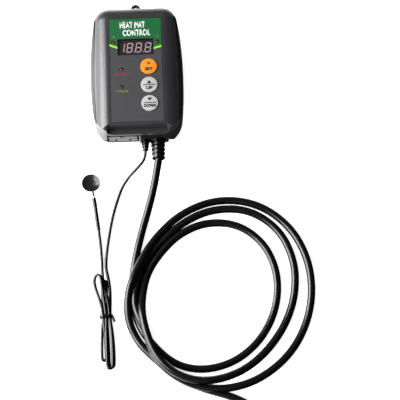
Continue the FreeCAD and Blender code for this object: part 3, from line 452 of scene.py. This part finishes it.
def hank_route():
    """The folded length: six runs through the tie, with one loop left standing out."""
    low, high = 0.0014, 0.0043
    route = [
        (-0.0314, -0.1915, low),
        (-0.0298, -0.2010, low),
        (-0.0294, -0.2130, low),
        (-0.0302, -0.2300, low),
        (-0.0282, -0.2440, low),
        (-0.0272, -0.2590, low),
    ]
    route += fold(-0.0294, -0.2725, -0.0022, 0, low, low)
    route += [
        (-0.0317, -0.2580, low),
        (-0.0322, -0.2440, low),
        (-0.0331, -0.2300, low),
        (-0.0327, -0.2150, low),
    ]
    route += fold(-0.0344, -0.1985, 0.0018, 0, low, low)
    route += [
        (-0.0362, -0.2120, low),
        (-0.0360, -0.2300, low),
        (-0.0374, -0.2430, low),
        (-0.0378, -0.2550, low),
    ]
    route += fold(-0.0358, -0.2665, 0.0021, 180, low, low)
    route += [
        (-0.0343, -0.2550, low),
        (-0.0348, -0.2420, 0.0024),
        (-0.0360, -0.2300, high),
        (-0.0368, -0.2220, 0.0038),
        (-0.0392, -0.2130, 0.0026),
        (-0.0422, -0.2040, 0.0016),
        (-0.0436, -0.1970, 0.0018),
        (-0.0420, -0.1920, 0.0032),
        (-0.0391, -0.1912, 0.0052),
        (-0.0370, -0.1955, 0.0068),
        (-0.0362, -0.2040, 0.0071),
        (-0.0348, -0.2160, 0.0058),
        (-0.0331, -0.2300, high),
        (-0.0333, -0.2440, high),
        (-0.0332, -0.2600, high),
    ]
    route += fold(-0.0307, -0.2740, 0.0025, 180, high, high)
    route += [
        (-0.0281, -0.2600, high),
        (-0.0286, -0.2440, high),
        (-0.0302, -0.2300, high),
        (-0.0312, -0.2180, high),
        (-0.0330, -0.2080, 0.0042),
        (-0.0350, -0.1990, 0.0040),
    ]
    return route


# Printing on the face and keys


def on_face(x, y):
    return FACE_Z


def on_key(key):
    """The crowned top of a key, as a height over each point."""
    def height(x, y):
        r = math.hypot(x - KEY_X, y - KEY_YS[key])
        return KEY_TOP - KEY_CROWN + math.sqrt(KEY_CROWN ** 2 - r * r) + PRINT_LIFT
    return height


def outline_mesh(name, loops):
    """A flat sheet inside the first loop, with the other loops left open."""
    shape = bmesh.new()
    for loop in loops:
        corners = [shape.verts.new((x, y, 0)) for x, y in loop]
        for a, b in zip(corners, corners[1:] + corners[:1]):
            shape.edges.new((a, b))
    bmesh.ops.triangle_fill(shape, use_beauty=True, edges=shape.edges[:], normal=(0, 0, 1))
    shape.normal_update()
    for face in shape.faces:
        if face.normal.z < 0:
            face.normal_flip()
    mesh = bpy.data.meshes.new(name)
    shape.to_mesh(mesh)
    shape.free()
    return mesh


def word_mesh(name, word, x, y, wide, tall, bold):
    """A word of block letters that fills a rectangle given by its centre."""
    data = bpy.data.curves.new(name, "FONT")
    data.body = word
    data.offset = bold
    letters = bpy.data.objects.new(name + "_letters", data)
    mesh = bpy.data.meshes.new_from_object(letters)
    bpy.data.objects.remove(letters)
    xs = [v.co.x for v in mesh.vertices]
    ys = [v.co.y for v in mesh.vertices]
    for vertex in mesh.vertices:
        across = (vertex.co.x - min(xs)) / (max(xs) - min(xs)) - 0.5
        along = (vertex.co.y - min(ys)) / (max(ys) - min(ys)) - 0.5
        vertex.co = (x + wide * across, y + tall * along, 0)
    return mesh


def printed(name, mesh, height, slot, body="root"):
    """A film of ink on the face or on a key."""
    for vertex in mesh.vertices:
        x, y = vertex.co.x, vertex.co.y
        vertex.co = (x * MM, y * MM, height(x, y) * MM)
    mesh.materials.clear()
    mesh.materials.append(finish(slot))
    thing = bpy.data.objects.new(name, mesh)
    bpy.context.scene.collection.objects.link(thing)
    film = thing.modifiers.new("film", "SOLIDIFY")
    film.thickness = PRINT_THICK
    film.offset = 1
    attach(thing, body)


def ring(x, y, r, count=24):
    steps = [2 * math.pi * i / count for i in range(count)]
    return [(x + r * math.cos(t), y + r * math.sin(t)) for t in steps]


def strip(x, y, wide, tall, count):
    """The outline of a bar, with points close enough together to follow a crowned key."""
    xs = [x - wide / 2 + wide * i / count for i in range(count + 1)]
    return [(u, y - tall / 2) for u in xs] + [(u, y + tall / 2) for u in reversed(xs)]


def green_field():
    """The field round three sides of the display, left open over two of the lights."""
    side, window = FIELD_HALF_X, DISPLAY_HALF_X
    field = [
        (-side, 13.5), (-side, FIELD_TOP), (side, FIELD_TOP), (side, 11.4), (window, 9.2),
        (window, DISPLAY_TOP), (-window, DISPLAY_TOP), (-window, 10.8),
    ]
    leds = [ring(x, y, LED_HOLE_R) for x, y in SCALE_LEDS]
    printed("green_field", outline_mesh("green_field", [field, *leds]), on_face, "print_green")


def chevrons():
    """The two lime stripes under the field, one on each side of the display."""
    side, window = FIELD_HALF_X, DISPLAY_HALF_X
    left = [(-side, 13.5), (-window, 10.8), (-window, 8.8), (-side, 11.6)]
    right = [(window, 9.2), (side, 11.4), (side, 9.4), (window, 7.2)]
    for name, stripe in (("chevron_left", left), ("chevron_right", right)):
        printed(name, outline_mesh(name, [stripe]), on_face, "print_lime")


def above_face(x, y):
    return FACE_Z + PRINT_LIFT


def face_words():
    for word, x, y, wide, tall, bold, slot in FACE_WORDS:
        name = "word_" + slot + "_" + word[-1].lower()
        printed(name, word_mesh(name, word, x, y, wide, tall, bold), above_face, slot)


def key_marks():
    """The outlines of the dot, arrows and bars, by key."""
    return {
        "set": [ring(*SET_DOT)],
        "up": [UP_ARROW, strip(*UP_BAR, *KEY_BAR_SIZE, BAR_STEPS)],
        "down": [DOWN_ARROW, strip(*DOWN_BAR, *KEY_BAR_SIZE, BAR_STEPS)],
    }


def key_print():
    """The marks and words on the three keys, which move with them."""
    for key, loops in key_marks().items():
        body = key + "_key"
        for index, loop in enumerate(loops):
            name = f"{key}_mark_{index}"
            printed(name, outline_mesh(name, [loop]), on_key(key), MARK_SLOTS[key], body)
        name = key + "_word"
        letters = word_mesh(name, *KEY_WORDS[key], KEY_WORD_BOLD)
        printed(name, letters, on_key(key), "print_black", body)


def cord_curve(name, route, diameter, slot):
    data = bpy.data.curves.new(name, "CURVE")
    data.dimensions = "3D"
    data.bevel_depth = diameter / 2
    data.bevel_resolution = 5
    data.use_fill_caps = True
    spline = data.splines.new("NURBS")
    spline.points.add(len(route) - 1)
    for point, place in zip(spline.points, route):
        point.co = (*place, 1)
    spline.order_u = 3
    spline.use_endpoint_u = True
    spline.resolution_u = 8
    data.materials.append(finish(slot))
    thing = bpy.data.objects.new(name, data)
    bpy.context.scene.collection.objects.link(thing)
    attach(thing, "root")
    return thing


def cords():
    power = cord_curve("power_cord", power_route(), POWER_DIAMETER, "black_vinyl")
    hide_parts("power_cord_lead", "power_cord_coil", "power_cord_tail")
    cord_curve("probe_shrink", SENSOR_TAIL[-3:], SHRINK_DIAMETER, "black_vinyl")
    sensor_points = SENSOR_LEAD + hank_route() + SENSOR_TAIL
    sensor = cord_curve("sensor_cable", sensor_points, SENSOR_DIAMETER, "black_vinyl")
    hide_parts("sensor_lead", "sensor_hank", "sensor_tail")


camera()
room()
dress_cad()
green_field()
chevrons()
face_words()
key_print()
cords()
